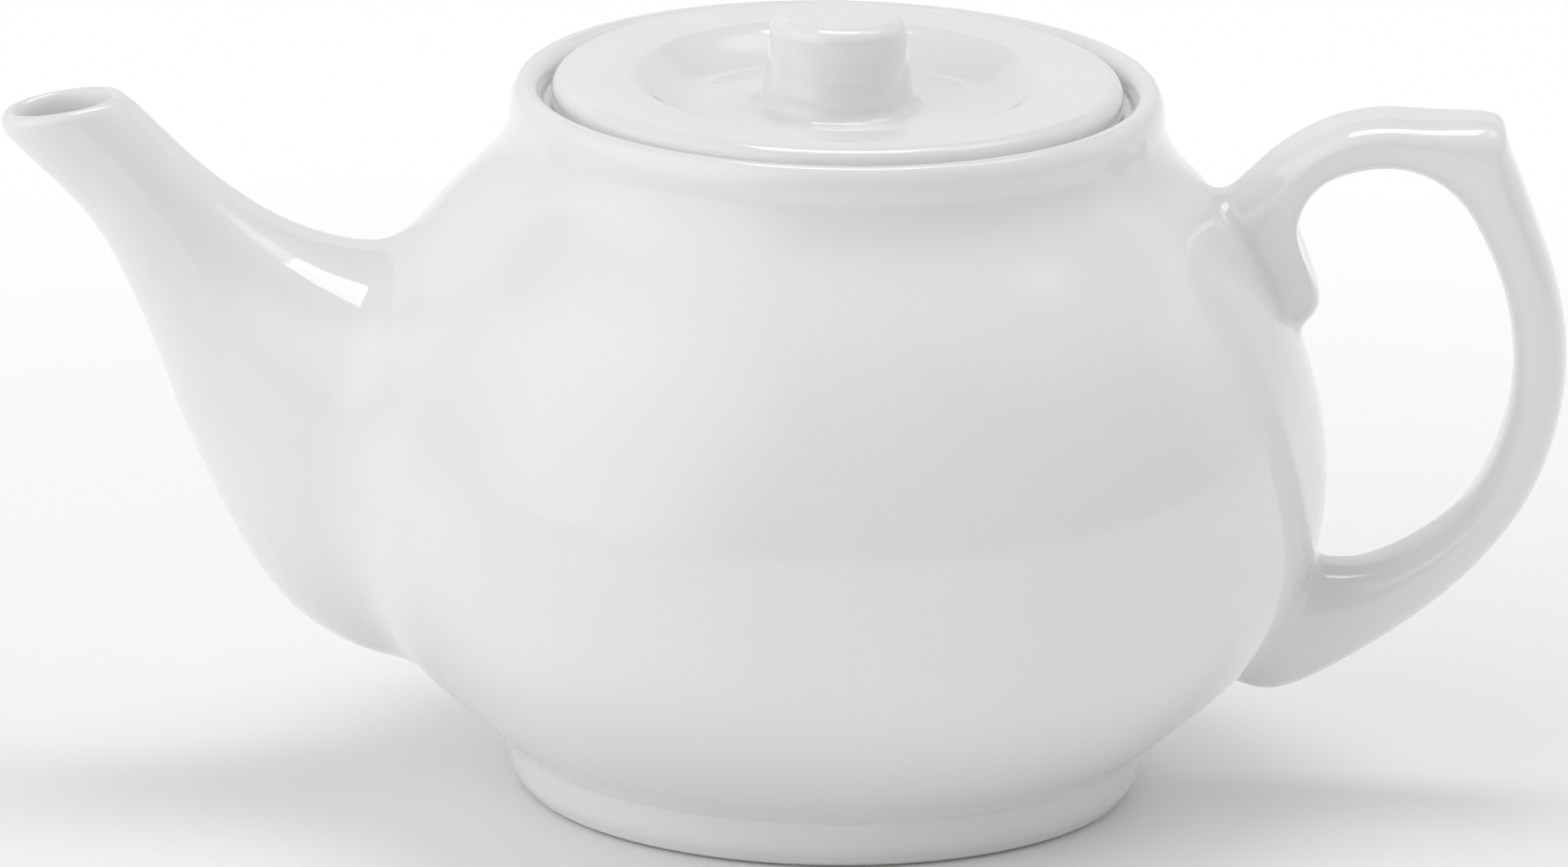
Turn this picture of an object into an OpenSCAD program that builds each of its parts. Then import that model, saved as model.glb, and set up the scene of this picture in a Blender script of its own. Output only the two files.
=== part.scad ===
// Round-bellied porcelain teapot with a loose lid.
// Millimetres, +Z up.  The origin is the centre of the foot's contact face, on the axis of the
// belly.  The spout points along -X and the handle along +X.

/* [Body] */
// Largest radius of the belly
belly_r = 74; // [72:0.5:76]
// Height of the rim's top above the table
rim_z = 107.9; // [106:0.1:110]
// Radius of the rim roll, measured at its widest
rim_r = 48.7; // [48:0.1:50]
// Radius of the inside of the rim
mouth_r = 44; // [43.5:0.1:45]
// Thickness of the body's wall
wall = 4.5; // [3.5:0.1:5.5]
// Height of the inside of the floor above the table
floor_z = 11.5; // [10.5:0.1:13]

/* [Foot] */
// Height of the foot ring
foot_h = 7.4; // [6.5:0.1:8.5]
// Radius of the foot ring where it meets the belly
foot_r = 47.7; // [46:0.1:49]
// Outer radius of the face that stands on the table
contact_r = 45; // [43:0.1:45.4]
// Inner radius of the face that stands on the table
contact_inner_r = 40.6; // [39:0.1:42]
// Depth of the recess under the floor
recess = 6; // [4:0.1:6.4]

/* [Gallery] */
// Height of the ledge that the lid rests on
ledge_z = 104; // [103.5:0.1:104.5]
// Radius of the opening inside the ledge
throat_r = 38; // [37.8:0.1:40]
// Thickness of the ledge
ledge_t = 4.4; // [3:0.1:5]
// Width of the notch that lets the lid's lug past the ledge
notch_w = 16; // [14:0.5:20]
// Height of the seam between the belly and the collar
seam_z = 95; // [94.5:0.1:95.5]

/* [Spout] */
// Thickness of the spout's wall at its root
spout_wall = 4; // [3:0.1:4.5]
// Thickness of the spout's wall at its lip
lip_wall = 2; // [1.5:0.1:2.4]
// Tilt of the pouring lip, lower at the front
lip_tilt = 10.5; // [5:0.5:15]
// Diameter of each strainer hole
strainer_d = 4.5; // [3:0.1:5]
// Distance between strainer holes
strainer_pitch = 7.5; // [6.5:0.1:8]

/* [Handle] */
// Half the width of the handle's strap
strap_half = 8; // [7:0.1:9]

/* [Lid] */
// Radius of the lid's edge
lid_r = 42.5; // [41.5:0.1:42.9]
// Height of the lid's flat rim above the ledge
lid_t = 5; // [4.5:0.1:5.5]
// Radius where the well round the knob starts
well_r = 31.5; // [30:0.1:33]
// Depth of the well
well_depth = 4.4; // [3.5:0.1:5]
// Outer radius of the flange that hangs inside the mouth
flange_r = 36.8; // [36:0.1:37.2]
// Thickness of the flange
flange_t = 4; // [3:0.1:4.5]
// Depth of the flange below the ledge's top
flange_depth = 11; // [9:0.1:13]
// Diameter of the steam vent
vent_d = 3.6; // [2.5:0.1:5]

/* [Knob] */
// Height of the knob above the floor of the well
knob_h = 13.8; // [12:0.1:16]
// Radius of the knob at its shoulder
knob_r = 10.2; // [9:0.1:11]
// Radius of the knob's foot, with its fillet
knob_foot_r = 13.4; // [13:0.1:14]

/* [Hidden] */
$fn = 96;
porcelain = [0.93, 0.93, 0.92];

// Points of a smooth curve through the stations in p, with n points from each to the next.
function station(p, i) = p[max(0, min(len(p) - 1, i))];
function between(a, b, c, d, t) =
    0.5 * (2 * b + (c - a) * t + (2 * a - 5 * b + 4 * c - d) * t * t
           + (3 * b - a - 3 * c + d) * t * t * t);
function curve(p, n) = concat(
    [for (i = [0:len(p) - 2]) for (k = [0:n - 1])
        between(station(p, i - 1), p[i], p[i + 1], station(p, i + 2), k / n)],
    [p[len(p) - 1]]);

// The outline p moved inwards by d, square to itself.
function inset(p, d) = [for (i = [0:len(p) - 1])
    let (run = station(p, i + 1) - station(p, i - 1))
    p[i] + d * [-run[1], run[0]] / norm(run)];

function reversed(p) = [for (i = [len(p) - 1:-1:0]) p[i]];

// A quarter of an ellipse from angle a, [radius, height], about c.
function quarter(c, rx, rz, a) = [for (k = [0:6])
    let (t = a + 15 * k) [c[0] + rx * cos(t), c[1] + rz * sin(t)]];

// ---- Outlines of the turned body, as [radius, height] -------------------------------------

// The seam between belly and collar.  The wall slopes there, which makes its edge wider.
seam_r = 52.5;
seam_inner = [seam_r - 1.33 * wall, seam_z];
belly_line = curve([
    [foot_r, foot_h],
    [belly_r - 14.3, 18],
    [belly_r - 5.4, 28.5],
    [belly_r - 1, 39.5],
    [belly_r, 50],
    [belly_r - 1.6, 61.5],
    [belly_r - 5.6, 73.5],
    [belly_r - 12.2, 84.8],
    [seam_r, seam_z]], 4);
neck_line = curve([
    [seam_r, seam_z],
    [rim_r + 1.1, 99],
    [rim_r + 0.1, 102],
    [rim_r, rim_z - 4.6]], 3);
inner_line = [for (p = inset(belly_line, wall))
    if (p[1] > floor_z + 3 && p[1] < seam_z - 3) p];

module belly_solid() {
    rotate_extrude() polygon(concat([[0, foot_h]], belly_line, [[0, seam_z]]));
}

module body_shell() color(porcelain) difference() {
    boss_r = contact_inner_r - 2;
    rotate_extrude() polygon(concat(
        [[0, recess], [boss_r, recess], [boss_r, foot_h]],
        belly_line,
        [seam_inner],
        reversed(inner_line),
        [[inner_line[0][0] - 4, floor_z], [0, floor_z]]));
    strainer_holes();
}

// Five rows of drilled holes behind the root of the spout.
module strainer_holes() {
    for (row = [-2:2])
        for (k = [0:(row % 2 == 0 ? 2 : 3)])
            translate([-belly_r + 9, strainer_pitch * (k - (row % 2 == 0 ? 1 : 1.5)),
                       48 + strainer_pitch * row])
                rotate([0, -90, 0]) cylinder(d = strainer_d, h = 14);
}

// Neck, rolled rim and the ledge inside it that the lid rests on.
module collar() color(porcelain) difference() {
    roll_top = mouth_r + 2.6;
    rotate_extrude() polygon(concat(
        neck_line,
        quarter([roll_top, rim_z - 4.6], rim_r - roll_top, 4.6, 0),
        quarter([roll_top, rim_z - 3], roll_top - mouth_r, 3, 90),
        [[mouth_r, ledge_z], [throat_r, ledge_z], [throat_r, ledge_z - ledge_t],
         [mouth_r - 1, ledge_z - ledge_t - 2.6], seam_inner]));
    translate([throat_r - 3, -notch_w / 2, seam_z])
        cube([6.5, notch_w, ledge_z - seam_z + 0.001]);
}

module foot_ring() color(porcelain) {
    boss_r = contact_inner_r - 2;
    rotate_extrude() polygon(concat(
        [[contact_inner_r, 0], [contact_r, 0]],
        curve([[contact_r + 0.5, 0.5], [foot_r - 0.9, 2.2], [foot_r - 0.1, 4.6],
               [foot_r, foot_h]], 3),
        [[boss_r, foot_h], [contact_inner_r - 1, 1]]));
}

// ---- Swept parts ----------------------------------------------------------------------------
// A station is [upper x, upper z, lower x, lower z, half the width]; a section is a rounded oval
// that stands on the line between the two points and reaches half the width to each side.

function section(s, n, m) =
    let (mid = [s[0] + s[2], s[1] + s[3]] / 2, half = [s[0] - s[2], s[1] - s[3]] / 2)
    [for (k = [0:m - 1])
        let (c = cos(360 * k / m), q = sin(360 * k / m),
             u = sign(c) * pow(abs(c), 2 / n), v = sign(q) * pow(abs(q), 2 / n))
        [mid[0] + half[0] * u, s[4] * v, mid[1] + half[1] * u]];

// The same station with its wall taken off all round.
function hollowed(s, t) =
    let (d = [s[0] - s[2], s[1] - s[3]], e = t * d / norm(d))
    [s[0] - e[0], s[1] - e[1], s[2] + e[0], s[3] + e[1], s[4] - t];

// Triangles between ring i and ring j, of m points each.
function band(i, j, m) = [for (k = [0:m - 1]) let (l = (k + 1) % m)
    each [[i * m + k, i * m + l, j * m + l], [i * m + k, j * m + l, j * m + k]]];

// ---- Spout ----------------------------------------------------------------------------------

lip_at = [-115, 102.7];
lip_half = 9.5;
lip_half_w = 8;

// A section square to the lip's axis: d below the lip's top, and t in from its outside.
function lip_station(d, t) =
    let (across = [cos(lip_tilt), sin(lip_tilt)], down = [sin(lip_tilt), -cos(lip_tilt)],
         c = lip_at + d * down, h = lip_half - t)
    [c[0] + h * across[0], c[1] + h * across[1],
     c[0] - h * across[0], c[1] - h * across[1], lip_half_w - t];

spout_stations = [
    [-55, 84, -52, 18, 25],
    [-63.5, 82.4, -61, 18.6, 24.5],
    [-69, 81.8, -69, 20.1, 22],
    [-74.5, 82.4, -77.8, 24.7, 18.6],
    [-80.5, 84.3, -85.2, 32.8, 15.5],
    [-86.3, 87.3, -91.7, 44.4, 12.8],
    [-91.6, 91, -96.9, 55.9, 10.8],
    [-96.3, 94.9, -101.2, 67, 9.5],
    [-100.2, 98.6, -105.7, 77, 8.7],
    [-103, 101.5, -111.4, 86.2, 8.2],
    [-104.6, 103, -118.5, 93.3, 8],
    lip_station(2, 0)];

module spout() color(porcelain) difference() {
    sides = 32;
    outer = curve(spout_stations, 2);
    last = len(outer) - 1;
    lip = [lip_station(0.9, 0), lip_station(0.2, 0.5), lip_station(0, 1),
           lip_station(0.3, 1.6), lip_station(1.4, lip_wall)];
    bore = [for (i = [last:-1:0])
        hollowed(outer[i], lip_wall + (spout_wall - lip_wall) * (1 - i / last))];
    rings = concat(outer, lip, bore);
    polyhedron(
        points = [for (s = rings) each section(s, 2.2, sides)],
        faces = [for (i = [0:len(rings) - 1]) each band(i, (i + 1) % len(rings), sides)]);
    belly_solid();
}

// ---- Handle ---------------------------------------------------------------------------------

handle_stations = [
    [52, 88, 64, 70, strap_half],
    [58, 92.3, 70.9, 73.4, strap_half],
    [61.8, 95.8, 72.1, 77.8, strap_half],
    [65.5, 99.1, 69.3, 84.2, strap_half],
    [69.6, 101.7, 69.1, 89.6, strap_half],
    [74, 103.6, 71.9, 94, strap_half],
    [78.5, 104.7, 76.4, 96.2, strap_half],
    [83.2, 105, 81.5, 97, strap_half],
    [88, 104.8, 86.3, 96.3, strap_half],
    [93, 104.8, 90.2, 94.2, strap_half],
    [97.1, 104.6, 92.9, 91.7, strap_half],
    [99, 103.5, 94.3, 89.8, strap_half],
    [99.9, 100.4, 95.3, 88.1, strap_half],
    [101.6, 96, 96.4, 86, strap_half],
    [103.4, 91.3, 97.9, 82.8, strap_half],
    [106.8, 82.1, 99.9, 77, strap_half],
    [109, 72.6, 101, 70.6, strap_half],
    [109.2, 65, 101.2, 65, strap_half],
    [108.2, 57.9, 100.4, 59, strap_half],
    [105.1, 48.5, 98, 51.4, strap_half],
    [99.9, 40.1, 93.9, 44.6, strap_half],
    [93.4, 32.9, 87.8, 39.5, strap_half],
    [86, 26.7, 82, 36.5, strap_half],
    [78, 21.3, 77.3, 35.4, strap_half + 0.3],
    [70.6, 17.3, 72.8, 35.8, strap_half + 1],
    [64.4, 16.2, 69.5, 37.2, strap_half + 2],
    [56, 20, 64, 40, strap_half + 2]];

module handle() color(porcelain) difference() {
    sides = 24;
    rings = curve(handle_stations, 2);
    last = len(rings) - 1;
    polyhedron(
        points = [for (s = rings) each section(s, 2.6, sides)],
        faces = concat(
            [[for (k = [sides - 1:-1:0]) k]],
            [for (i = [0:last - 1]) each band(i, i + 1, sides)],
            [[for (k = [0:sides - 1]) last * sides + k]]));
    belly_solid();
}

// ---- Lid ------------------------------------------------------------------------------------

lid_top = ledge_z + lid_t;
well_z = lid_top - well_depth;
plate_t = 4.3;
lid_well = curve([[19, 0], [23, 0.5], [27.2, well_depth * 0.62], [well_r, well_depth]], 4);

module lid_cover() color(porcelain) difference() {
    rotate_extrude() polygon(concat(
        [[0, well_z]],
        [for (p = lid_well) [p[0], well_z + p[1]]],
        reversed(quarter([lid_r - 2, lid_top - 1.6], 2, 1.6, 0)),
        [[lid_r, ledge_z + 1.6], [lid_r - 0.6, ledge_z + 0.5], [lid_r - 1.6, ledge_z],
         [flange_r - flange_t, ledge_z]],
        [for (i = [len(lid_well) - 1:-1:0])
            if (well_z - plate_t + lid_well[i][1] < ledge_z - 0.2)
                [lid_well[i][0] - 1.5, well_z - plate_t + lid_well[i][1]]],
        [[0, well_z - plate_t]]));
    translate([0, 16.5, well_z - plate_t - 1]) cylinder(d = vent_d, h = plate_t + 2);
}

module lid_flange() color(porcelain) {
    low = ledge_z - flange_depth;
    inner_r = flange_r - flange_t;
    rotate_extrude() polygon([
        [inner_r, ledge_z], [inner_r, low + 1], [inner_r + 1, low],
        [flange_r - 1, low], [flange_r, low + 1], [flange_r, ledge_z]]);
}

// The tab that turns under the ledge and holds the lid while the pot pours.
module lid_lug() color(porcelain) difference() {
    translate([flange_r - 2, -5, ledge_z - flange_depth + 1]) cube([5.4, 10, 4]);
    translate([0, 0, ledge_z - flange_depth]) cylinder(r = flange_r, h = 6);
}

module lid_knob() color(porcelain) {
    top = well_z + knob_h;
    rotate_extrude() polygon(concat(
        [[0, well_z], [knob_foot_r, well_z]],
        curve([[knob_foot_r - 0.9, well_z + 0.3], [knob_foot_r - 1.8, well_z + 1.1],
               [knob_r + 0.9, well_z + 3], [knob_r + 0.4, well_z + 6]], 3),
        quarter([knob_r - 2.4, top - 2.4], 2.4, 2.4, 0),
        [[0, top]]));
}

body_shell();
collar();
foot_ring();
spout();
handle();
lid_cover();
lid_flange();
lid_lug();
lid_knob();
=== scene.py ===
"""Finished surfaces, studio and camera for a porcelain teapot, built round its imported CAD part.

Outlines and stations are in millimetres in the part's own frame: the foot's centre is the origin,
the spout points along -X and the handle along +X.  Meshes are written in metres.
"""

import math

import bmesh
import bpy
import numpy as np
from mathutils import Matrix, Vector


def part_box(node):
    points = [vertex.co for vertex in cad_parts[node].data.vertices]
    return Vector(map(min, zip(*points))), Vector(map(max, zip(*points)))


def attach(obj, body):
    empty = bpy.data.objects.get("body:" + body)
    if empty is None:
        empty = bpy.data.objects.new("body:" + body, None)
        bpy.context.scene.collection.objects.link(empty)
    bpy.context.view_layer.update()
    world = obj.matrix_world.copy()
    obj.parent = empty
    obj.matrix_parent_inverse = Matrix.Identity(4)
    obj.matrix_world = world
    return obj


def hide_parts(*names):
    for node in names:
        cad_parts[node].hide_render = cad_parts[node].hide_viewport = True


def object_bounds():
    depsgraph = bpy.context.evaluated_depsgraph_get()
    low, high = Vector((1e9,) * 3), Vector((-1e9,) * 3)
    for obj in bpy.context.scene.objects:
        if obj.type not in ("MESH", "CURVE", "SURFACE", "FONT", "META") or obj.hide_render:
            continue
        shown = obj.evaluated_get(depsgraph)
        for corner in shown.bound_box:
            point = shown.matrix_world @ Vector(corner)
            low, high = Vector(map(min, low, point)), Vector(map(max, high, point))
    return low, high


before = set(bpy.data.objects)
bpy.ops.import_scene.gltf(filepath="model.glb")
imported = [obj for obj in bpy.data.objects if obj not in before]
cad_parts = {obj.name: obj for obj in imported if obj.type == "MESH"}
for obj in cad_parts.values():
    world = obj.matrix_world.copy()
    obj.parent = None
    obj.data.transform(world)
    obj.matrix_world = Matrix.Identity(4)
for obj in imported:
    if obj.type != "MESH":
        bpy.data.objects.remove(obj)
cad_lo, cad_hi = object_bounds()

MM = 0.001
TURNS = 256  # sides of a turned piece
SHARP = 35  # an edge that bends by more degrees than this is shaded as an edge
WELD = 1e-5  # points closer than this are one point


def corners(node):
    """Lowest and highest corner of a CAD node, in millimetres."""
    lo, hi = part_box(node)
    return np.array(lo) / MM, np.array(hi) / MM


# ---- Driving sizes, from the frame --------------------------------------------------------------

BELLY_R, _, SEAM_Z = corners("body_shell")[1]
RECESS_Z = corners("body_shell")[0][2]
FOOT_R, _, FOOT_H = corners("foot_ring")[1]
SEAM_R, _, RIM_Z = corners("collar")[1]
LEDGE_LOW = corners("collar")[0][2]
LID_R, _, LID_TOP = corners("lid_cover")[1]
PLATE_LOW = corners("lid_cover")[0][2]
FLANGE_LOW = corners("lid_flange")[0][2]
FLANGE_R, _, LEDGE_Z = corners("lid_flange")[1]
WELL_Z = corners("lid_knob")[0][2]
KNOB_FOOT_R, _, KNOB_TOP = corners("lid_knob")[1]

# ---- Curves -------------------------------------------------------------------------------------

SEAM_GAP = 0.05  # how far inside a seam its second point lies


def unit(v):
    """The vectors at length 1."""
    return v / np.linalg.norm(v, axis=-1, keepdims=True)


def round_angles(count):
    """Angles in radians that divide a full turn evenly, from 0."""
    return np.linspace(0, 2 * math.pi, count, endpoint=False)


def spline(points, samples, ends=None):
    """A curve with smooth curvature through the rows of points, as evenly timed samples.

    The time between two points is the square root of their distance, which keeps tight bends from
    swinging wide.  ends is a pair of directions for the two ends; without it both run out
    straight."""
    p = np.asarray(points, float)
    steps = np.linalg.norm(np.diff(p[:, :4], axis=0), axis=1) ** 0.5  # a station's width is left out
    t = np.concatenate([[0], np.cumsum(steps)])
    n = len(p)
    slope = np.diff(p, axis=0) / steps[:, None]
    matrix, right = np.zeros((n, n)), np.zeros_like(p)
    for i in range(1, n - 1):
        matrix[i, i - 1 : i + 2] = steps[i - 1], 2 * (steps[i - 1] + steps[i]), steps[i]
        right[i] = 6 * (slope[i] - slope[i - 1])
    if ends is None:
        matrix[0, 0] = matrix[-1, -1] = 1
    else:
        first, last = unit(np.asarray(ends, float))
        matrix[0, :2] = 2 * steps[0], steps[0]
        right[0] = 6 * (slope[0] - first * np.linalg.norm(slope[0]))
        matrix[-1, -2:] = steps[-1], 2 * steps[-1]
        right[-1] = 6 * (last * np.linalg.norm(slope[-1]) - slope[-1])
    bend = np.linalg.solve(matrix, right)
    at = np.linspace(0, t[-1], samples)
    i = np.clip(np.searchsorted(t, at, "right") - 1, 0, n - 2)
    a, b, h = (t[i + 1] - at)[:, None], (at - t[i])[:, None], steps[i][:, None]
    return (
        (bend[i] * a**3 + bend[i + 1] * b**3) / (6 * h)
        + (p[i] / h - bend[i] * h / 6) * a
        + (p[i + 1] / h - bend[i + 1] * h / 6) * b
    )


def arc(centre, rx, rz, start, stop, count=9):
    """Points [radius, height] of an ellipse's arc, angles in degrees from the +radius side."""
    a = np.radians(np.linspace(start, stop, count))
    return np.c_[centre[0] + rx * np.cos(a), centre[1] + rz * np.sin(a)]


def inset(line, depth):
    """The outline moved to its left by depth, square to itself."""
    run = unit(np.gradient(line, axis=0))
    return line + depth * np.c_[-run[:, 1], run[:, 0]]


def seamed(line):
    """The outline with a second point just inside each end, so that shading runs on over a seam."""
    first = line[0] + unit(line[1] - line[0]) * SEAM_GAP
    last = line[-1] + unit(line[-2] - line[-1]) * SEAM_GAP
    return np.vstack([line[:1], [first], line[1:-1], [last], line[-1:]])


# ---- Meshes -------------------------------------------------------------------------------------


def finish_mesh(name, bm, sharp=SHARP):
    """Turns a bmesh in millimetres into an object in metres with smooth shading."""
    bmesh.ops.remove_doubles(bm, verts=bm.verts, dist=WELD)
    bmesh.ops.recalc_face_normals(bm, faces=bm.faces)
    mesh = bpy.data.meshes.new(name)
    bm.to_mesh(mesh)
    bm.free()
    mesh.transform(Matrix.Scale(MM, 4))
    mesh.polygons.foreach_set("use_smooth", [True] * len(mesh.polygons))
    mesh.set_sharp_from_angle(angle=math.radians(sharp))
    mesh.update()
    obj = bpy.data.objects.new(name, mesh)
    bpy.context.scene.collection.objects.link(obj)
    return obj


def add_rings(bm, rings, loop):
    """Skins rings of equal size; loop joins the last to the first, otherwise fans close the ends."""
    rows = [[bm.verts.new(p) for p in ring] for ring in rings]
    count = len(rows[0])
    pairs = list(zip(rows, rows[1:])) + ([(rows[-1], rows[0])] if loop else [])
    for a, b in pairs:
        for k in range(count):
            bm.faces.new((a[k], a[(k + 1) % count], b[(k + 1) % count], b[k]))
    if not loop:
        for row in (rows[0], rows[-1]):
            middle = bm.verts.new(sum((v.co for v in row), Vector()) / count)
            for k in range(count):
                bm.faces.new((row[k], row[(k + 1) % count], middle))


def skinned(name, rings, loop):
    """An object skinned from rings."""
    bm = bmesh.new()
    add_rings(bm, rings, loop)
    return finish_mesh(name, bm)


def turned(outline, turns=TURNS):
    """Rings [ring, side, xyz] of a solid turned from a closed outline of [radius, height]."""
    a = round_angles(turns)
    r, z = outline[:, :1], outline[:, 1:]
    return np.stack([r * np.cos(a), r * np.sin(a), z + 0 * a], axis=2)


def lathe(name, outline):
    """A solid turned from the stretches of a closed outline, taken one after the other."""
    return skinned(name, turned(np.vstack(outline)), loop=True)


def cut(obj, cutter):
    """Takes the cutter away from obj and removes it."""
    tool = obj.modifiers.new("cut", "BOOLEAN")
    tool.object = cutter
    tool.solver = "EXACT"
    tool.operation = "DIFFERENCE"
    graph = bpy.context.evaluated_depsgraph_get()
    uncut = obj.data
    obj.data = bpy.data.meshes.new_from_object(obj.evaluated_get(graph))
    obj.modifiers.clear()
    bpy.data.meshes.remove(uncut)
    bpy.data.objects.remove(cutter)
    obj.data.name = obj.name
    obj.data.set_sharp_from_angle(angle=math.radians(SHARP))


# ---- The turned body ----------------------------------------------------------------------------

WALL = 4.5
FLOOR_Z = 11.5  # top of the pot's floor
MOUTH_R = 44  # the rim's inside, round the lid
THROAT_R = 38  # the ledge's inside
BOSS_R = 38.6  # edge of the floor's underside, inside the foot
RECESS_R = BOSS_R - 2  # the part of that underside which shows
CONTACT_R, CONTACT_INNER_R = 45, 40.6  # the face that the foot stands on
ROLL_R = MOUTH_R + 2.6  # crest of the rim
ROLL_OUTER_H, ROLL_INNER_H = 4.6, 3  # heights of the rim's outer and inner rounding
SEAM_INNER_R = SEAM_R - 1.33 * WALL  # the seam is level and the wall leans, so it is wider here

# Outside of the pot from the foot's top to the rim, the belly and then the neck.
side_line = spline(
    [
        [FOOT_R, FOOT_H],
        [BELLY_R - 14.3, 18],
        [BELLY_R - 5.4, 28.5],
        [BELLY_R - 1, 39.5],
        [BELLY_R, 50],
        [BELLY_R - 1.6, 61.5],
        [BELLY_R - 5.6, 73.5],
        [BELLY_R - 12.2, 84.8],
        [SEAM_R, SEAM_Z],
        [SEAM_R - 2.7, 99],
        [SEAM_R - 3.7, 102],
        [SEAM_R - 3.8, RIM_Z - ROLL_OUTER_H],
    ],
    200,
    ends=([1, 0.85], [0, 1]),
)
seam_row = int(np.argmin(abs(side_line[:, 1] - SEAM_Z)))
side_line[seam_row] = SEAM_R, SEAM_Z
side_line[:, 0] = np.minimum(side_line[:, 0], BELLY_R)
belly_line, neck_line = side_line[: seam_row + 1], side_line[seam_row:]
# The wall's inside stops short of the floor, for the sweep into it, and short of the seam.
wall_line = inset(belly_line, WALL)
wall_line = wall_line[(wall_line[:, 1] > FLOOR_Z + 4) & (wall_line[:, 1] < SEAM_Z - 2)]


def belly_radius(z):
    """Radius of the pot's outside at a height."""
    return np.interp(z, side_line[:, 1], side_line[:, 0])


def wall_radius(z):
    """Radius of the belly's inside at a height."""
    return np.interp(z, wall_line[:, 1], wall_line[:, 0])


STRAINER_R = 2.25
STRAINER_PITCH = 7.5
STRAINER_Z = 48
# An eased hole's mouth: how much wider than the hole it is, and how deep under the face.
EASED_MOUTH = [(0.5, -1.5), (0.5, 0), (0.2, 0.1), (0.05, 0.25), (0, 0.5)]


def strainer_cutter():
    """Five rows of holes along X whose mouths are rounded where they meet the two faces."""
    bm = bmesh.new()
    a = round_angles(32)
    for row in range(-2, 3):
        count = 3 if row % 2 == 0 else 4
        for k in range(count):
            y0 = STRAINER_PITCH * (k - (count - 1) / 2)
            z0 = STRAINER_Z + STRAINER_PITCH * row
            rings = []
            for face_radius, into_clay, mouth in [(wall_radius, -1, EASED_MOUTH),
                                                  (belly_radius, 1, EASED_MOUTH[::-1])]:
                for wider, depth in mouth:
                    radius = STRAINER_R + wider
                    y, z = y0 + radius * np.cos(a), z0 + radius * np.sin(a)
                    x = into_clay * depth - np.sqrt(face_radius(z) ** 2 - y**2)
                    rings.append(np.c_[x, y, z])
            add_rings(bm, rings, loop=False)
    return finish_mesh("strainer_cutter", bm)


def belly_shell():
    """The pot's bowl: glazed floor, wall, and the strainer drilled behind the spout."""
    corner = wall_line[0]
    sweep = spline([[corner[0] - 9, FLOOR_Z], [corner[0] - 3.5, FLOOR_Z + 1.2], corner], 12,
                   ends=([1, 0], [1.5, 1.8]))
    outline = [
        [[0, RECESS_Z], [RECESS_R, RECESS_Z], [BOSS_R, RECESS_Z], [BOSS_R, FOOT_H]],
        seamed(belly_line),
        seamed(np.vstack([[[SEAM_INNER_R, SEAM_Z]], wall_line[::-1]])),
        sweep[::-1],
        [[corner[0] - 20, FLOOR_Z], [20, FLOOR_Z], [0, FLOOR_Z]],
    ]
    shell = lathe("belly_shell", outline)
    cut(shell, strainer_cutter())
    return shell


def notch_cutter():
    """A round-cornered slot through the ledge, wider at its top edge."""
    near, far, half, corner = THROAT_R - 4, THROAT_R + 3.5, 8, 2
    rings = []
    for grow, z in [(0.4, LEDGE_Z + 0.5), (0.4, LEDGE_Z), (0.12, LEDGE_Z - 0.12),
                    (0, LEDGE_Z - 0.4), (0, LEDGE_LOW - 1)]:
        outer = arc([far - corner, half - corner], corner + grow, corner + grow, 0, 90)
        loop = [[near, -half - grow], *(outer[::-1] * [1, -1]), *outer, [near, half + grow]]
        rings.append([[x, y, z] for x, y in loop])
    return skinned("notch_cutter", rings, loop=False)


def neck_and_rim():
    """Neck, rolled rim and the rounded ledge that carries the lid, notched for the lid's lug."""
    outer_w = neck_line[-1][0] - ROLL_R
    outline = [
        seamed(neck_line),
        arc([ROLL_R, RIM_Z - ROLL_OUTER_H], outer_w, ROLL_OUTER_H, 0, 90)[1:],
        arc([ROLL_R, RIM_Z - ROLL_INNER_H], ROLL_R - MOUTH_R, ROLL_INNER_H, 90, 180)[1:],
        arc([MOUTH_R - 0.8, LEDGE_Z + 0.8], 0.8, 0.8, 0, -90, 5),
        arc([THROAT_R + 1, LEDGE_Z - 1], 1, 1, 90, 180, 6),
        arc([THROAT_R + 1, LEDGE_Z - 3.4], 1, 1, 180, 240, 5),
        spline([[MOUTH_R - 1.4, 97.3], [MOUTH_R + 0.6, 96.3], [SEAM_INNER_R, SEAM_Z]], 8),
    ]
    rim = lathe("neck_and_rim", outline)
    cut(rim, notch_cutter())
    return rim


def foot():
    """The foot ring, with a rounded sole and a fillet up to the recessed floor."""
    sole, fillet = 0.6, 2.4
    outline = [
        [[CONTACT_INNER_R + sole, 0], [CONTACT_R - sole, 0]],
        spline([[CONTACT_R + 0.2, 0.35], [CONTACT_R + 1, 1.2], [FOOT_R - 0.8, 2.6],
                [FOOT_R - 0.35, 4.8], [FOOT_R, FOOT_H]], 22, ends=([1, 0.4], [0.3, 1])),
        [[BOSS_R, FOOT_H], [BOSS_R, RECESS_Z], [RECESS_R, RECESS_Z]],
        arc([RECESS_R - 0.2, RECESS_Z - fillet], fillet, fillet, 85, 10, 8),
        [[CONTACT_INNER_R - 1, 1.4], [CONTACT_INNER_R - 0.5, 0.4]],
    ]
    return lathe("foot", outline)


# ---- Swept parts --------------------------------------------------------------------------------
# A station is [upper x, upper z, lower x, lower z, half the width]; its section is a rounded oval
# that stands on the line between the two points and reaches half the width to each side.

RIDGE = 4  # rounding of a roofed section's ridge
FILLET_RINGS, SKIN_RINGS = 14, 110
FILLET_PULL = 0.66  # how far the fillet's curve is drawn into the corner that it rounds
# Rings past the fillet's edge that sink into the pot: distance out over it, and height over it.
SUNK_RINGS = [(1.4, -0.3), (0.8, -0.03)]


def oval(a, power):
    """Upward and sideward reach of a unit oval at angles a; 2 is round and more is squarer."""
    return [np.sign(x) * abs(x) ** (2 / power) for x in (np.cos(a), np.sin(a))]


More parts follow.
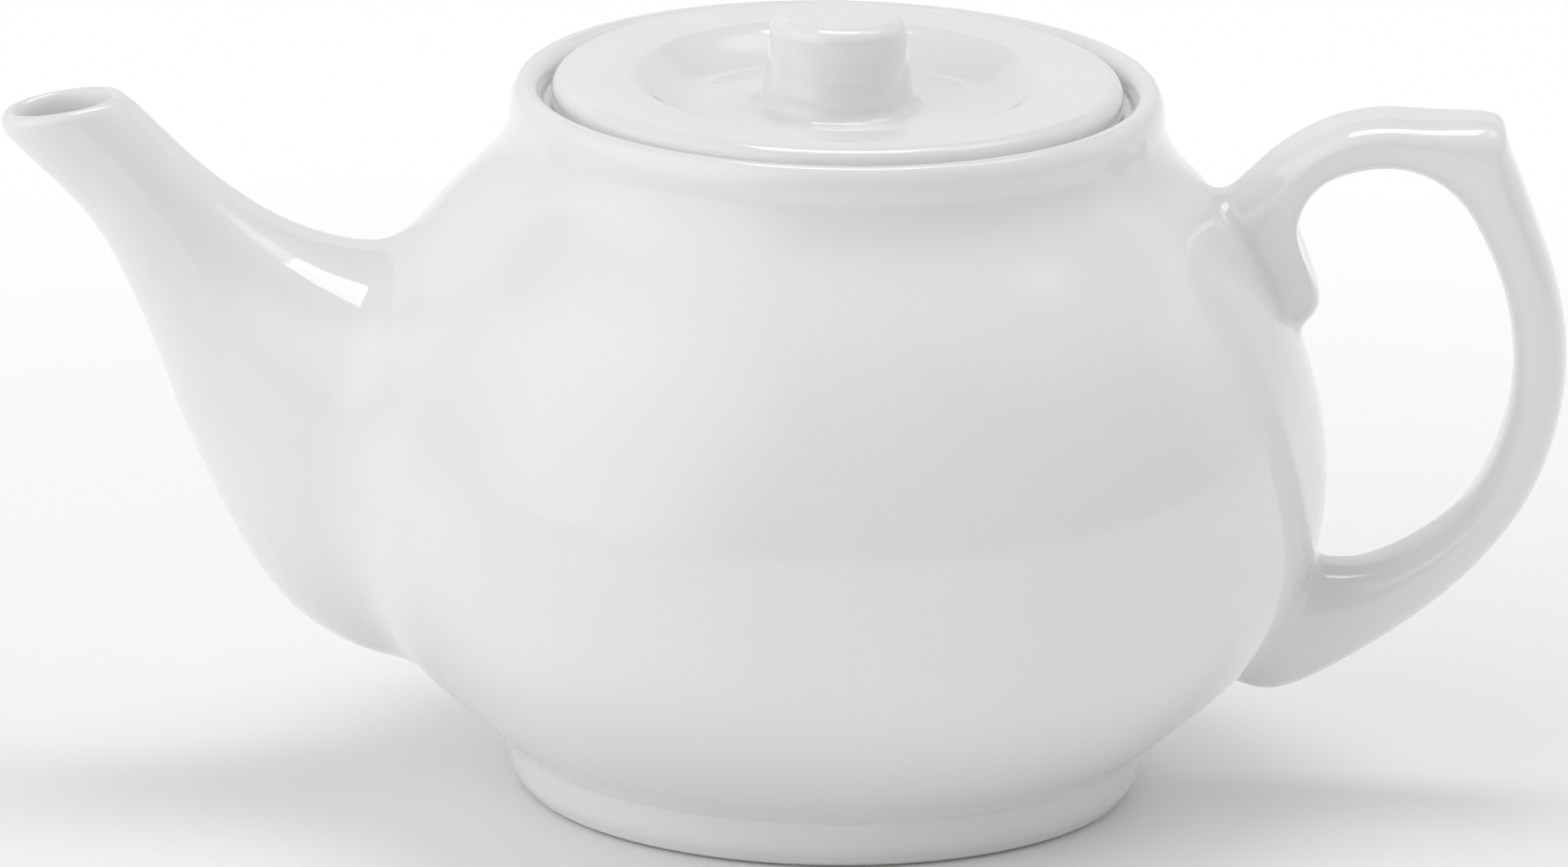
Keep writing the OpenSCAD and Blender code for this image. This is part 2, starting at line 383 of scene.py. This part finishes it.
def sections(stations, sides, upper_power, lower_power, roof=0.0):
    """Ovals [station, side, xyz] on the stations, side 0 on the upper point.

    The powers shape the upper and lower halves, and roof is the slope by which the upper half
    falls away from its ridge.  Any of the three may be one value or one per station."""
    a = round_angles(sides)
    upper_power = np.reshape(upper_power, (-1, 1))
    lower_power = np.reshape(lower_power, (-1, 1))
    u, v = oval(a, np.where(np.cos(a) > 0, upper_power, lower_power))
    upper, lower, half = stations[:, None, 0:2], stations[:, None, 2:4], stations[:, None, 4]
    middle, reach = (upper + lower) / 2, (upper - lower) / 2
    below_ridge = np.hypot(half * v, RIDGE) - RIDGE
    fall = np.reshape(roof, (-1, 1)) * below_ridge * np.maximum(u, 0)
    line = middle + reach * u[..., None] - unit(reach) * fall[..., None]
    return np.stack([line[..., 0], half * v, line[..., 1]], axis=2)


def above_belly(p):
    """Height of points over the pot's side, measured radially."""
    return np.hypot(p[..., 0], p[..., 1]) - belly_radius(p[..., 2])


def belly_normal(p):
    """Outward direction, square to the pot's side, at the height and azimuth of points."""
    z = p[..., 2]
    slope = belly_radius(z + 0.5) - belly_radius(z - 0.5)
    return unit(np.concatenate([unit(p[..., :2]), -slope[..., None]], axis=-1))


def onto_belly(p, height=0.0):
    """The points moved square to the pot's side until they are at that height over it."""
    for _ in range(4):
        n = belly_normal(p)
        square = np.linalg.norm(n[..., :2], axis=-1, keepdims=True)
        p = p - n * (above_belly(p)[..., None] - height) * square
    return p


def along(lines, at):
    """Points at fractional rows `at` [row, side] of lines [row, side, xyz]."""
    low = np.clip(at.astype(int), 0, len(lines) - 2)
    side = np.arange(lines.shape[1])[None, :]
    w = (at - low)[..., None]
    return lines[low, side] * (1 - w) + lines[low + 1, side] * w


def meeting_rows(lines, height=0.0):
    """Fractional row where each side's line, which starts inside the pot, rises past that height."""
    over = above_belly(lines) - height
    rows = []
    for k in range(lines.shape[1]):
        i = np.nonzero(over[:, k] <= 0)[0][-1]
        rows.append(i + over[i, k] / (over[i, k] - over[i + 1, k]))
    return np.array(rows)


def row_after(lines, start, distance):
    """Fractional row that lies that distance along each line from its fractional row start."""
    rows = []
    for k in range(lines.shape[1]):
        step = np.linalg.norm(np.diff(lines[:, k], axis=0), axis=1)
        run = np.concatenate([[0], np.cumsum(step)])
        here = np.interp(start[k], np.arange(len(run)), run)
        rows.append(np.interp(here + distance[k], run, np.arange(len(run))))
    return np.array(rows)


def rooted(lines, up, out):
    """Rings of a swept skin that flows out of the pot's side through a fillet.

    lines [row, side, xyz] start inside the pot.  up is how far along each line the fillet reaches,
    and out how far it runs out over the pot, both per side."""
    meet = meeting_rows(lines)
    top = row_after(lines, meet, up)
    corner = along(lines, meet[None])[0]
    high = along(lines, top[None])[0]
    ahead = unit(along(lines, top[None] + 0.5)[0] - along(lines, top[None] - 0.5)[0])
    around = np.roll(corner, -1, axis=0) - np.roll(corner, 1, axis=0)
    outward = np.cross(around, belly_normal(corner))
    away = corner - lines.mean(axis=1)[meet.astype(int)]
    outward = unit(outward * np.sign((outward * away).sum(axis=1))[:, None])
    low = onto_belly(corner + outward * out[:, None])
    n = belly_normal(low)
    down = unit(outward - n * (outward * n).sum(axis=1)[:, None])
    high_pull = high - ahead * np.linalg.norm(high - corner, axis=1)[:, None] * FILLET_PULL
    low_pull = low - down * np.linalg.norm(low - corner, axis=1)[:, None] * FILLET_PULL
    t = np.linspace(0, 1, FILLET_RINGS)[:, None, None]
    fillet = (low * (1 - t) ** 3 + low_pull * 3 * t * (1 - t) ** 2
              + high_pull * 3 * t**2 * (1 - t) + high * t**3)
    sunk = [onto_belly(low + down * past, height) for past, height in SUNK_RINGS]
    share = np.linspace(0, 1, SKIN_RINGS + 1)[1:, None]
    skin = along(lines, top[None] * (1 - share) + (len(lines) - 1) * share)
    return np.concatenate([sunk, fillet, skin])


def by_side(sides, upper, beside, lower):
    """A value for each side of a section that blends between its top, flanks and bottom."""
    a = round_angles(sides)
    return np.where(np.cos(a) > 0, upper, lower) * np.cos(a) ** 2 + beside * np.sin(a) ** 2


# ---- Spout --------------------------------------------------------------------------------------

SPOUT_SIDES, SPOUT_SAMPLES, BORE_RINGS = 160, 400, 80
SPOUT_POWER, SPOUT_ROOT_POWER = 2.2, 3.8
SPOUT_ROOF = 0.42
SPOUT_WALL, LIP_WALL = 4, 3
BORE_SUNK = 0.3  # how far the bore's root lies under the belly's face
LIP_AT = np.array([-115, 102.7])
LIP_HALF, LIP_HALF_W = 9.5, 8
LIP_TILT = math.radians(10.5)
LIP_ACROSS = np.array([math.cos(LIP_TILT), math.sin(LIP_TILT)])
LIP_DOWN = np.array([math.sin(LIP_TILT), -math.cos(LIP_TILT)])
LIP_ROLL_H, LIP_THROAT_H = 1.8, 3.2  # heights of the roll's outer and inner halves
LIP_RINGS = 16
# Where the rolled lip takes over from the spout's side, as angles round the roll from square
# outward: at the back the side is already turning inward, at the pouring edge it still flares.
LIP_FROM_BACK, LIP_FROM_EDGE = math.radians(42), math.radians(-38)


def roll_at(turn):
    """How far inward and how deep the lip's roll is at an angle round it."""
    height = np.where(np.cos(turn) > 0, LIP_ROLL_H, LIP_THROAT_H)
    return LIP_WALL / 2 * (1 - np.cos(turn)), height * (1 - np.sin(turn))


def lip_point(turn, side):
    """The roll's [x, z] at its back (side 1) or pouring edge (side -1)."""
    inward, depth = roll_at(turn)
    return LIP_AT + depth * LIP_DOWN + side * (LIP_HALF - inward) * LIP_ACROSS


SPOUT_STATIONS = [
    [-45, 85, -42, 18, 27],
    [-55, 84, -52, 18, 26.5],
    [-63.5, 82.4, -61, 18.6, 26.5],
    [-69, 81.8, -69, 20.1, 24.2],
    [-74.5, 82.4, -77.8, 24.7, 20.6],
    [-80.5, 84.3, -85.2, 32.8, 17],
    [-86.3, 87.3, -91.7, 44.4, 13.6],
    [-91.6, 91, -96.9, 55.9, 11.2],
    [-96.3, 94.9, -101.2, 67, 9.7],
    [-100.2, 98.6, -105.7, 77, 8.8],
    [-103, 101.35, -111.4, 86.2, 8.2],
    [-104.4, 102.65, -118.5, 93.3, 8],
    [*lip_point(LIP_FROM_BACK, 1), *lip_point(LIP_FROM_EDGE, -1), LIP_HALF_W],
]


def hollowed(stations, thickness):
    """The stations with their wall taken off all round."""
    s = np.array(stations, float)
    step = unit(s[:, 0:2] - s[:, 2:4]) * thickness[:, None]
    s[:, 0:2] -= step
    s[:, 2:4] += step
    s[:, 4] -= thickness
    return s


def lip_rings():
    """Rings of the rolled lip, from the end of the spout's skin over the top and into the bore."""
    u, v = oval(round_angles(SPOUT_SIDES), SPOUT_POWER)
    start = (LIP_FROM_BACK + LIP_FROM_EDGE) / 2 + (LIP_FROM_BACK - LIP_FROM_EDGE) / 2 * u
    share = np.linspace(0, 1, LIP_RINGS)[:, None]
    inward, depth = roll_at(start + (math.pi - start) * share)
    reach = (LIP_HALF - inward) * u
    line = LIP_AT + depth[..., None] * LIP_DOWN + reach[..., None] * LIP_ACROSS
    return np.stack([line[..., 0], (LIP_HALF_W - inward) * v, line[..., 1]], axis=2)


def spout():
    """The hollow spout: a skin that grows out of the belly, a rolled lip, and the bore."""
    rooting = np.linspace(1, 0, SPOUT_SAMPLES)
    upper_power = SPOUT_POWER + (SPOUT_ROOT_POWER - SPOUT_POWER) * rooting

    def swept(stations):
        line = spline(stations, SPOUT_SAMPLES)
        return sections(line, SPOUT_SIDES, upper_power, SPOUT_POWER, SPOUT_ROOF * rooting)

    fillet = by_side(SPOUT_SIDES, 5, 8, 4)
    outside = rooted(swept(SPOUT_STATIONS), fillet, fillet)
    hollow = hollowed(SPOUT_STATIONS, np.linspace(SPOUT_WALL, LIP_WALL, len(SPOUT_STATIONS)))
    hollow[-1] = [*lip_point(math.pi, 1), *lip_point(math.pi, -1), LIP_HALF_W - LIP_WALL]
    bore = swept(hollow)
    root = meeting_rows(bore, -BORE_SUNK)
    share = np.linspace(1, 0, BORE_RINGS)[:, None]
    inside = along(bore, (len(bore) - 1) * share + root[None] * (1 - share))
    rings = np.concatenate([outside[:-1], lip_rings(), inside[1:]])
    return skinned("spout_shell", rings, loop=True)


# ---- Handle -------------------------------------------------------------------------------------

HANDLE_SIDES, HANDLE_SAMPLES = 128, 700
HANDLE_POWER = 2.6
STRAP = 8  # half the strap's width
HANDLE_STATIONS = [
    [46, 83, 57, 66.5, STRAP],
    [52, 88, 64, 70, STRAP],
    [58, 92.3, 70.9, 73.4, STRAP],
    [61.8, 95.8, 72.1, 77.8, STRAP],
    [65.5, 99.1, 69.3, 84.2, STRAP],
    [69.6, 101.7, 69.1, 89.6, STRAP],
    [74, 103.6, 71.9, 94, STRAP],
    [78.5, 104.7, 76.4, 96.2, STRAP],
    [83.2, 105, 81.5, 97, STRAP],
    [88, 104.8, 86.3, 96.3, STRAP],
    [93, 104.8, 90.2, 94.2, STRAP],
    [97.1, 104.6, 92.9, 91.7, STRAP],
    [99, 103.5, 94.3, 89.8, STRAP],
    [99.9, 100.4, 95.3, 88.1, STRAP],
    [101.6, 96, 96.4, 86, STRAP],
    [103.4, 91.3, 97.9, 82.8, STRAP],
    [106.8, 82.1, 99.9, 77, STRAP],
    [109, 72.6, 101, 70.6, STRAP],
    [109.2, 65, 101.2, 65, STRAP],
    [108.2, 57.9, 100.4, 59, STRAP],
    [105.1, 48.5, 98, 51.4, STRAP],
    [99.9, 40.1, 93.9, 44.6, STRAP],
    [93.4, 32.9, 87.8, 39.5, STRAP],
    [86, 26.7, 82, 36.5, STRAP],
    [78, 21.3, 77.3, 35.4, STRAP + 0.3],
    [70.6, 17.3, 72.8, 35.8, STRAP + 1],
    [64.4, 16.2, 69.5, 37.2, STRAP + 2],
    [56, 20, 64, 40, STRAP + 2],
    [48, 25, 58, 43, STRAP + 2],
]


def handle():
    """The strap handle: one half is skinned from each root and they join at mid-length."""
    line = spline(HANDLE_STATIONS, HANDLE_SAMPLES)
    skin = sections(line, HANDLE_SIDES, HANDLE_POWER, HANDLE_POWER)
    middle = len(skin) // 2
    fillet = by_side(HANDLE_SIDES, 4, 2, 2.5)
    high = rooted(skin[: middle + 1], fillet, fillet)
    low = rooted(skin[: middle - 1 : -1], by_side(HANDLE_SIDES, 2.5, 2.5, 3),
                 by_side(HANDLE_SIDES, 2.5, 2, 3))
    return skinned("strap_handle", np.concatenate([high, low[-2::-1]]), loop=False)


# ---- Lid ----------------------------------------------------------------------------------------

WELL_R, WELL_FLAT_R = 31.5, 21
VENT_R, VENT_Y = 1.8, 16.5
FLANGE_INNER_R = FLANGE_R - 4
LOW_ROUND = 1.2  # rounding of the lid's and the flange's lower edges


def vent_cutter():
    """The steam vent: a round hole whose two mouths are eased."""
    outline = [(VENT_R + wider, WELL_Z - depth) for wider, depth in EASED_MOUTH]
    outline += [(VENT_R + wider, PLATE_LOW + depth) for wider, depth in EASED_MOUTH[::-1]]
    return skinned("vent_cutter", turned(np.array(outline), 48) + [0, VENT_Y, 0], loop=False)


def lid_plate():
    """The dished plate of the lid, with the steam vent."""
    depth, plate = LID_TOP - WELL_Z, WELL_Z - PLATE_LOW
    edge_w, edge_h = 2.4, 2.6
    well = spline([[WELL_FLAT_R, WELL_Z], [WELL_FLAT_R + 3.2, WELL_Z + 0.4],
                   [WELL_R - 3.5, WELL_Z + depth * 0.6], [WELL_R, LID_TOP]], 40,
                  ends=([1, 0], [1, 0.1]))
    under = well[well[:, 0] < WELL_R - 2.5] - [1.5, plate]
    outline = [
        [[0, WELL_Z], [10, WELL_Z], [15, WELL_Z]],
        well,
        [[(WELL_R + LID_R) / 2, LID_TOP]],
        arc([LID_R - edge_w, LID_TOP - edge_h], edge_w, edge_h, 90, 0, 12),
        arc([LID_R - LOW_ROUND, LEDGE_Z + LOW_ROUND], LOW_ROUND, LOW_ROUND, 0, -90, 7),
        [[FLANGE_R, LEDGE_Z], [FLANGE_INNER_R, LEDGE_Z], [FLANGE_INNER_R - 0.6, LEDGE_Z - 0.2]],
        under[::-1],
        [[15, PLATE_LOW], [0, PLATE_LOW]],
    ]
    lid = lathe("lid_plate", outline)
    cut(lid, vent_cutter())
    return lid


def lid_flange():
    """The ring under the lid, with rounded lower edges."""
    round_z = FLANGE_LOW + LOW_ROUND
    outline = [
        [[FLANGE_INNER_R, LEDGE_Z]],
        arc([FLANGE_INNER_R + LOW_ROUND, round_z], LOW_ROUND, LOW_ROUND, 180, 270, 7),
        arc([FLANGE_R - LOW_ROUND, round_z], LOW_ROUND, LOW_ROUND, -90, 0, 7),
        [[FLANGE_R, LEDGE_Z]],
    ]
    return lathe("lid_flange_ring", outline)


def lid_lug():
    """The tab that turns under the ledge: a pillow-edged block bent to the flange's curve."""
    lo, hi = corners("lid_lug")
    root_r = FLANGE_R - 1  # the tab starts inside the flange's wall
    bm = bmesh.new()
    bmesh.ops.create_cube(bm, size=1)
    bmesh.ops.bevel(bm, geom=bm.edges[:], offset=0.16, segments=5, profile=0.5, affect="EDGES")
    for v in bm.verts:
        radius = hi[0] - (hi[0] - root_r) * (0.5 - v.co.x)
        angle = v.co.y * (hi[1] - lo[1]) / hi[0]
        v.co = (radius * math.cos(angle), radius * math.sin(angle),
                lo[2] + (hi[2] - lo[2]) * (v.co.z + 0.5))
    return finish_mesh("lid_lug_tab", bm, sharp=60)


def knob():
    """The lid's knob, flowing into the floor of the well."""
    waist, crown = 10.2, 2.4
    outline = [
        [[0, WELL_Z - 0.5], [KNOB_FOOT_R, WELL_Z - 0.5], [KNOB_FOOT_R, WELL_Z - 0.02]],
        spline([[KNOB_FOOT_R - 0.3, WELL_Z + 0.01], [KNOB_FOOT_R - 1.1, WELL_Z + 0.35],
                [KNOB_FOOT_R - 1.9, WELL_Z + 1.3], [waist + 0.9, WELL_Z + 3],
                [waist + 0.4, WELL_Z + 6], [waist, KNOB_TOP - crown - 0.2]], 40,
               ends=([-1, 0.05], [-0.08, 1])),
        arc([waist - crown, KNOB_TOP - crown], crown, crown, 0, 90, 12),
        [[waist - 5, KNOB_TOP], [0, KNOB_TOP]],
    ]
    return lathe("knob", outline)


# ---- Shader nodes -------------------------------------------------------------------------------


def put(tree, value, socket):
    """Links an output to the socket, or sets the socket to a plain value."""
    if hasattr(value, "is_output"):
        tree.links.new(value, socket)
    else:
        socket.default_value = value


def add_node(tree, kind, **values):
    """A new node; each value goes to the property or else the input of that name."""
    node = tree.nodes.new(kind)
    for name, value in values.items():
        if hasattr(node, name):
            setattr(node, name, value)
        else:
            put(tree, value, node.inputs[name])
    return node


def ramp(tree, source, low, high, at_low, at_high, smooth=False):
    """Turns the source's span from low to high into at_low to at_high, level beyond its ends."""
    node = add_node(tree, "ShaderNodeMapRange", Value=source)
    node.interpolation_type = "SMOOTHSTEP" if smooth else "LINEAR"
    for name, value in [("From Min", low), ("From Max", high), ("To Min", at_low), ("To Max", at_high)]:
        node.inputs[name].default_value = value
    return node.outputs["Result"]


def calculate(tree, operation, a, b):
    """The sum or product of two values."""
    node = add_node(tree, "ShaderNodeMath", operation=operation)
    put(tree, a, node.inputs[0])
    put(tree, b, node.inputs[1])
    return node.outputs[0]


def mix_colours(tree, factor, a, b):
    """The colour a where the factor is 0 and b where it is 1."""
    node = add_node(tree, "ShaderNodeMix", data_type="RGBA")
    for index, value in zip((0, 6, 7), (factor, a, b)):
        put(tree, value, node.inputs[index])
    return node.outputs[2]


def new_material(name):
    """A material with nodes, its node tree and its Principled shader."""
    material = bpy.data.materials.new(name)
    material.use_nodes = True
    return material, material.node_tree, material.node_tree.nodes["Principled BSDF"]


# ---- Glaze --------------------------------------------------------------------------------------

GLAZE_IOR = 1.52
COAT, COAT_ROUGHNESS = 0.5, 0.03
GLAZE_SHADE, GLAZE_LIGHT = (0.815, 0.815, 0.805, 1), (0.845, 0.845, 0.84, 1)
GLAZE_SMOOTH, GLAZE_ROUGH = 0.06, 0.10
BISCUIT, BISCUIT_ROUGHNESS = (0.80, 0.775, 0.73, 1), (0.7, 0.7, 0.7, 1)
BARE_Z = 0.05, 0.3  # the foot is wiped clean of glaze below this, and fully glazed above it
# Pinholes: cells per metre, a dot's inner and outer radius in cells, the random values between
# which a cell gets one, and their colour.
PINHOLE_CELLS, PINHOLE_DOT, PINHOLE_CHOICE = 95, (0.016, 0.034), (0.93, 0.97)
PINHOLE = (0.45, 0.42, 0.38, 1)


def glaze_material():
    """White glaze over porcelain: faint orange peel, a little unevenness and a few pinholes."""
    material, tree, shader = new_material("porcelain_glaze")
    place = add_node(tree, "ShaderNodeTexCoord").outputs["Object"]

    def noise(scale, detail):
        node = add_node(tree, "ShaderNodeTexNoise", Vector=place, Scale=scale, Detail=detail)
        return node.outputs["Fac"]

    def bump(height, strength, distance):
        return add_node(tree, "ShaderNodeBump", Height=height, Strength=strength, Distance=distance)

    cells = add_node(tree, "ShaderNodeTexVoronoi", Vector=place, Scale=PINHOLE_CELLS)
    draw = add_node(tree, "ShaderNodeSeparateColor", Color=cells.outputs["Color"]).outputs["Red"]
    dot = ramp(tree, cells.outputs["Distance"], *PINHOLE_DOT, 1, 0)
    pinholes = calculate(tree, "MULTIPLY", dot, ramp(tree, draw, *PINHOLE_CHOICE, 0, 1))

    height = add_node(tree, "ShaderNodeSeparateXYZ", Vector=place).outputs["Z"]
    bare = ramp(tree, height, BARE_Z[0] * MM, BARE_Z[1] * MM, 1, 0)

    tone = mix_colours(tree, ramp(tree, noise(18, 2), 0.35, 0.65, 0, 1), GLAZE_SHADE, GLAZE_LIGHT)
    tone = mix_colours(tree, pinholes, tone, PINHOLE)
    put(tree, mix_colours(tree, bare, tone, BISCUIT), shader.inputs["Base Color"])
    gloss = ramp(tree, noise(60, 2), 0.3, 0.7, GLAZE_SMOOTH, GLAZE_ROUGH)
    gloss = mix_colours(tree, bare, gloss, BISCUIT_ROUGHNESS)
    put(tree, gloss, shader.inputs["Roughness"])

    swell = bump(noise(34, 0), 0.25, 0.0006)
    peel = bump(noise(420, 1), 0.05, 0.0004)
    put(tree, swell.outputs["Normal"], peel.inputs["Normal"])
    put(tree, peel.outputs["Normal"], shader.inputs["Normal"])
    put(tree, peel.outputs["Normal"], shader.inputs["Coat Normal"])
    shader.inputs["IOR"].default_value = GLAZE_IOR
    shader.inputs["Coat Weight"].default_value = COAT
    shader.inputs["Coat Roughness"].default_value = COAT_ROUGHNESS
    return material


# ---- Studio -------------------------------------------------------------------------------------

AMBIENT = 0.425
# Soft glows of the white studio: azimuth and elevation in degrees, radius of the full glow and of
# its faded edge, and brightness.  Azimuth 0 is the camera's side and + is to the right.
GLOWS = [
    (-62, 25, 8, 50, 1.1),
    (100, 45, 5, 45, 0.4),
    (108, 60, 3, 15, 1.3),
    (0, 90, 5, 42, 0.15),
]
# The white backdrop behind the pot: the elevation that it fades out at, the one from which it is
# full, the cosine to straight behind at which it is full, and brightness.
BACKDROP_TOP, BACKDROP_EDGE, BACKDROP_WIDTH, BACKDROP_GLOW = 34, 28, 0.35, 0.33
# The floor, in metres: half its side, how far under the foot it lies, the distances from the pot
# between which its own glow rises, and the glow's strengths there.
FLOOR_HALF, FLOOR_DROP = 8, 0.0002
FLOOR_NEAR, FLOOR_FAR, FLOOR_GLOW_NEAR, FLOOR_GLOW_FAR = 0.08, 0.4, 0.02, 0.13


def bearing(azimuth, elevation):
    """Unit vector towards an azimuth and elevation in degrees."""
    a, e = math.radians(azimuth), math.radians(elevation)
    return Vector((math.sin(a) * math.cos(e), -math.cos(a) * math.cos(e), math.sin(e)))


def sky():
    """A white surround with soft-edged glows, which the glaze reflects without hard outlines."""
    world = bpy.context.scene.world = bpy.data.worlds.new("studio")
    world.use_nodes = True
    tree = world.node_tree
    direction = add_node(tree, "ShaderNodeTexCoord").outputs["Generated"]

    def towards(azimuth, elevation, dark, bright, strength):
        """Light that rises to its strength between two cosines to a direction."""
        dot = add_node(tree, "ShaderNodeVectorMath", operation="DOT_PRODUCT")
        dot.inputs[1].default_value = bearing(azimuth, elevation)
        put(tree, direction, dot.inputs[0])
        return ramp(tree, dot.outputs["Value"], dark, bright, 0, strength, smooth=True)

    behind = towards(180, 0, 0, BACKDROP_WIDTH, BACKDROP_GLOW)
    below_top = towards(0, -90, -math.sin(math.radians(BACKDROP_TOP)),
                        -math.sin(math.radians(BACKDROP_EDGE)), 1)
    total = calculate(tree, "MULTIPLY", behind, below_top)
    for azimuth, elevation, inner, outer, strength in GLOWS:
        glow = towards(azimuth, elevation, math.cos(math.radians(outer)),
                       math.cos(math.radians(inner)), strength)
        total = calculate(tree, "ADD", total, glow)
    background = tree.nodes["Background"]
    background.inputs["Color"].default_value = (1, 1, 1, 1)
    put(tree, calculate(tree, "ADD", total, AMBIENT), background.inputs["Strength"])


def softbox(name, azimuth, elevation, distance, size, radiance):
    """A rectangular light aimed at the pot, as bright as a white surface of that radiance."""
    light = bpy.data.lights.new(name, "AREA")
    light.shape = "RECTANGLE"
    light.size, light.size_y = size
    light.energy = math.pi * size[0] * size[1] * radiance
    box = bpy.data.objects.new(name, light)
    bpy.context.scene.collection.objects.link(box)
    back = bearing(azimuth, elevation)
    box.location = (cad_lo + cad_hi) / 2 + back * distance
    box.rotation_euler = back.to_track_quat("Z", "Y").to_euler()
    box.visible_camera = False


def floor_material():
    """White paper, lit a little from within where it is far enough not to light the pot."""
    material, tree, shader = new_material("floor_white")
    place = add_node(tree, "ShaderNodeTexCoord").outputs["Object"]
    distance = add_node(tree, "ShaderNodeVectorMath", operation="LENGTH")
    put(tree, place, distance.inputs[0])
    glow = ramp(tree, distance.outputs["Value"], FLOOR_NEAR, FLOOR_FAR, FLOOR_GLOW_NEAR,
                FLOOR_GLOW_FAR, smooth=True)
    put(tree, glow, shader.inputs["Emission Strength"])
    shader.inputs["Base Color"].default_value = (0.92, 0.92, 0.92, 1)
    shader.inputs["Emission Color"].default_value = (1, 1, 1, 1)
    shader.inputs["Roughness"].default_value = 0.9
    return material


def studio():
    """White floor and soft lights; all of them are far outside the object."""
    sky()
    bm = bmesh.new()
    bmesh.ops.create_grid(bm, x_segments=8, y_segments=8, size=FLOOR_HALF / MM)
    floor = finish_mesh("studio_floor", bm)
    floor.location.z = -FLOOR_DROP
    floor.data.materials.append(floor_material())
    softbox("overhead_box", azimuth=175, elevation=81, distance=1.3, size=(0.7, 0.52), radiance=3.1)
    bpy.context.scene.view_settings.view_transform = "Standard"


# ---- Camera -------------------------------------------------------------------------------------

VIEW_ELEVATION, VIEW_ROLL = math.radians(16.25), math.radians(1.07)
VIEW_DISTANCE = 3.332  # metres
AIM_OFFSET = Vector((0.42, 0, -5.72)) * MM  # from the middle of the CAD box
LENS, SENSOR = 513.3, 36  # millimetres


def camera():
    """A long lens from the front, a little above the lid, rolled by a degree."""
    target = (cad_lo + cad_hi) / 2 + AIM_OFFSET
    back = Vector((0, -math.cos(VIEW_ELEVATION), math.sin(VIEW_ELEVATION)))
    side, up = Vector((1, 0, 0)), Vector((0, math.sin(VIEW_ELEVATION), math.cos(VIEW_ELEVATION)))
    across = side * math.cos(VIEW_ROLL) + up * math.sin(VIEW_ROLL)
    upward = up * math.cos(VIEW_ROLL) - side * math.sin(VIEW_ROLL)
    cam = bpy.data.objects.new("camera", bpy.data.cameras.new("camera"))
    cam.data.sensor_width = SENSOR
    cam.data.lens = LENS
    cam.data.clip_end = 50
    turn = Matrix((across, upward, back)).transposed()
    cam.matrix_world = Matrix.Translation(target + back * VIEW_DISTANCE) @ turn.to_4x4()
    bpy.context.scene.collection.objects.link(cam)
    bpy.context.scene.camera = cam


# ---- Assembly -----------------------------------------------------------------------------------

camera()
studio()
glaze = glaze_material()
for make, body, node in [
    (belly_shell, "pot", "body_shell"),
    (neck_and_rim, "pot", "collar"),
    (foot, "pot", "foot_ring"),
    (spout, "pot", "spout"),
    (handle, "pot", "handle"),
    (lid_plate, "lid", "lid_cover"),
    (lid_flange, "lid", "lid_flange"),
    (lid_lug, "lid", "lid_lug"),
    (knob, "lid", "lid_knob"),
]:
    piece = make()
    piece.data.materials.clear()
    piece.data.materials.append(glaze)
    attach(piece, body)
    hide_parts(node)
